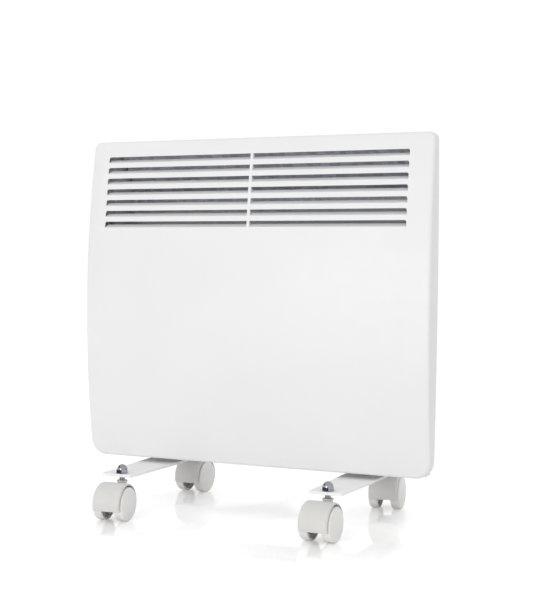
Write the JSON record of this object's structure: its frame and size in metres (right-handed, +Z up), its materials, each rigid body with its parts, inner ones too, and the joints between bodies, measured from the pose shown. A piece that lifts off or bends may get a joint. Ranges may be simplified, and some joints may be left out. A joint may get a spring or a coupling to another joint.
{
  "type": "wall panel convector heater",
  "caption": "Slim white convector heater: bowed steel front with a louvred outlet, rear case with an intake below, dial and switch at the side, on a castor kit.",
  "frame": {"origin": "on the floor, under the middle of the overall footprint", "axes": "+X to the right seen from the front, +Y to the back (the wall side), +Z up"},
  "size_m": [0.46, 0.2624, 0.4587],
  "materials": {
    "enamelled_panel": "satin white powder coat",
    "enamelled_case": "satin white powder coat",
    "enamelled_plate": "satin white powder coat",
    "plated_screws": "zinc plated",
    "galvanised_guide": "galvanised",
    "galvanised_shield": "galvanised",
    "bracket_steel": "galvanised",
    "element_aluminium": "as extruded",
    "sheath_steel": "drawn",
    "ceramic": "glazed",
    "cutout_body": "moulded",
    "control_plastic": "moulded",
    "bezel_plastic": "fine texture",
    "knob_plastic": "fine texture",
    "rocker_plastic": "gloss",
    "terminal_plastic": "moulded",
    "bush_plastic": "moulded",
    "brass_screw": "plain",
    "lead_insulation": "heat resistant sleeve",
    "stem_steel": "turned",
    "nut_steel": "bright",
    "hood_plastic": "moulded",
    "wheel_plastic": "moulded",
    "axle_steel": "ground"
  },
  "bodies": {
    "heater": {"front_panel": "enamelled_panel", "rear_case": "enamelled_case", "panel_screws": "plated_screws", "air_guide": "galvanised_guide", "heat_shield": "galvanised_shield", "element_fins": "element_aluminium", "element_sheath": "sheath_steel", "element_insulators": "ceramic", "element_bracket_left": "bracket_steel", "element_bracket_right": "bracket_steel", "bracket_screws": "plated_screws", "overheat_cutout": "cutout_body", "thermostat_body": "control_plastic", "control_bezel": "bezel_plastic", "switch_housing": "control_plastic", "terminal_block": "terminal_plastic", "cord_bush": "bush_plastic", "earth_screw": "brass_screw", "internal_leads": "lead_insulation", "leg_plate_left": "enamelled_plate", "leg_plate_right": "enamelled_plate", "leg_plate_screws": "plated_screws", "castor_stems": "stem_steel", "castor_nuts": "nut_steel"},
    "thermostat_knob": {"thermostat_knob": "knob_plastic"},
    "switch_rocker": {"switch_rocker": "rocker_plastic"},
    "castor_front_left": {"castor_hood_front_left": "hood_plastic", "castor_axle_front_left": "axle_steel"},
    "castor_wheel_front_left_l": {"castor_wheel_front_left_l": "wheel_plastic"},
    "castor_wheel_front_left_r": {"castor_wheel_front_left_r": "wheel_plastic"},
    "castor_front_right": {"castor_hood_front_right": "hood_plastic", "castor_axle_front_right": "axle_steel"},
    "castor_wheel_front_right_l": {"castor_wheel_front_right_l": "wheel_plastic"},
    "castor_wheel_front_right_r": {"castor_wheel_front_right_r": "wheel_plastic"},
    "castor_rear_left": {"castor_hood_rear_left": "hood_plastic", "castor_axle_rear_left": "axle_steel"},
    "castor_wheel_rear_left_l": {"castor_wheel_rear_left_l": "wheel_plastic"},
    "castor_wheel_rear_left_r": {"castor_wheel_rear_left_r": "wheel_plastic"},
    "castor_rear_right": {"castor_hood_rear_right": "hood_plastic", "castor_axle_rear_right": "axle_steel"},
    "castor_wheel_rear_right_l": {"castor_wheel_rear_right_l": "wheel_plastic"},
    "castor_wheel_rear_right_r": {"castor_wheel_rear_right_r": "wheel_plastic"}
  },
  "joints": [
    {"name": "thermostat_turn", "type": "hinge", "parent": "heater", "child": "thermostat_knob", "pos_m": [-0.2081, 0.04, 0.176], "axis": [-1, 0, 0], "range_deg": [-270, 0]},
    {"name": "rocker_press", "type": "hinge", "parent": "heater", "child": "switch_rocker", "pos_m": [-0.2082, 0.04, 0.128], "axis": [0, 1, 0], "range_deg": [0, 14]},
    {"name": "swivel_front_left", "type": "hinge", "parent": "heater", "child": "castor_front_left", "pos_m": [-0.1345, -0.086, 0.0375], "axis": [0, 0, 1], "continuous": true},
    {"name": "roll_front_left_l", "type": "hinge", "parent": "castor_front_left", "child": "castor_wheel_front_left_l", "pos_m": [-0.13311, -0.10595, 0.02], "axis": [0.9976, 0.0698, 0], "continuous": true},
    {"name": "roll_front_left_r", "type": "hinge", "parent": "castor_front_left", "child": "castor_wheel_front_left_r", "pos_m": [-0.13311, -0.10595, 0.02], "axis": [0.9976, 0.0698, 0], "continuous": true},
    {"name": "swivel_front_right", "type": "hinge", "parent": "heater", "child": "castor_front_right", "pos_m": [0.1345, -0.086, 0.0375], "axis": [0, 0, 1], "continuous": true},
    {"name": "roll_front_right_l", "type": "hinge", "parent": "castor_front_right", "child": "castor_wheel_front_right_l", "pos_m": [0.13415, -0.106, 0.02], "axis": [0.9998, -0.0175, 0], "continuous": true},
    {"name": "roll_front_right_r", "type": "hinge", "parent": "castor_front_right", "child": "castor_wheel_front_right_r", "pos_m": [0.13415, -0.106, 0.02], "axis": [0.9998, -0.0175, 0], "continuous": true},
    {"name": "swivel_rear_left", "type": "hinge", "parent": "heater", "child": "castor_rear_left", "pos_m": [-0.1345, 0.121, 0.0375], "axis": [0, 0, 1], "continuous": true},
    {"name": "roll_rear_left_l", "type": "hinge", "parent": "castor_rear_left", "child": "castor_wheel_rear_left_l", "pos_m": [-0.1352, 0.10101, 0.02], "axis": [0.9994, -0.0349, 0], "continuous": true},
    {"name": "roll_rear_left_r", "type": "hinge", "parent": "castor_rear_left", "child": "castor_wheel_rear_left_r", "pos_m": [-0.1352, 0.10101, 0.02], "axis": [0.9994, -0.0349, 0], "continuous": true},
    {"name": "swivel_rear_right", "type": "hinge", "parent": "heater", "child": "castor_rear_right", "pos_m": [0.1345, 0.121, 0.0375], "axis": [0, 0, 1], "continuous": true},
    {"name": "roll_rear_right_l", "type": "hinge", "parent": "castor_rear_right", "child": "castor_wheel_rear_right_l", "pos_m": [0.13676, 0.10113, 0.02], "axis": [0.9936, 0.1132, 0], "continuous": true},
    {"name": "roll_rear_right_r", "type": "hinge", "parent": "castor_rear_right", "child": "castor_wheel_rear_right_r", "pos_m": [0.13676, 0.10113, 0.02], "axis": [0.9936, 0.1132, 0], "continuous": true}
  ]
}
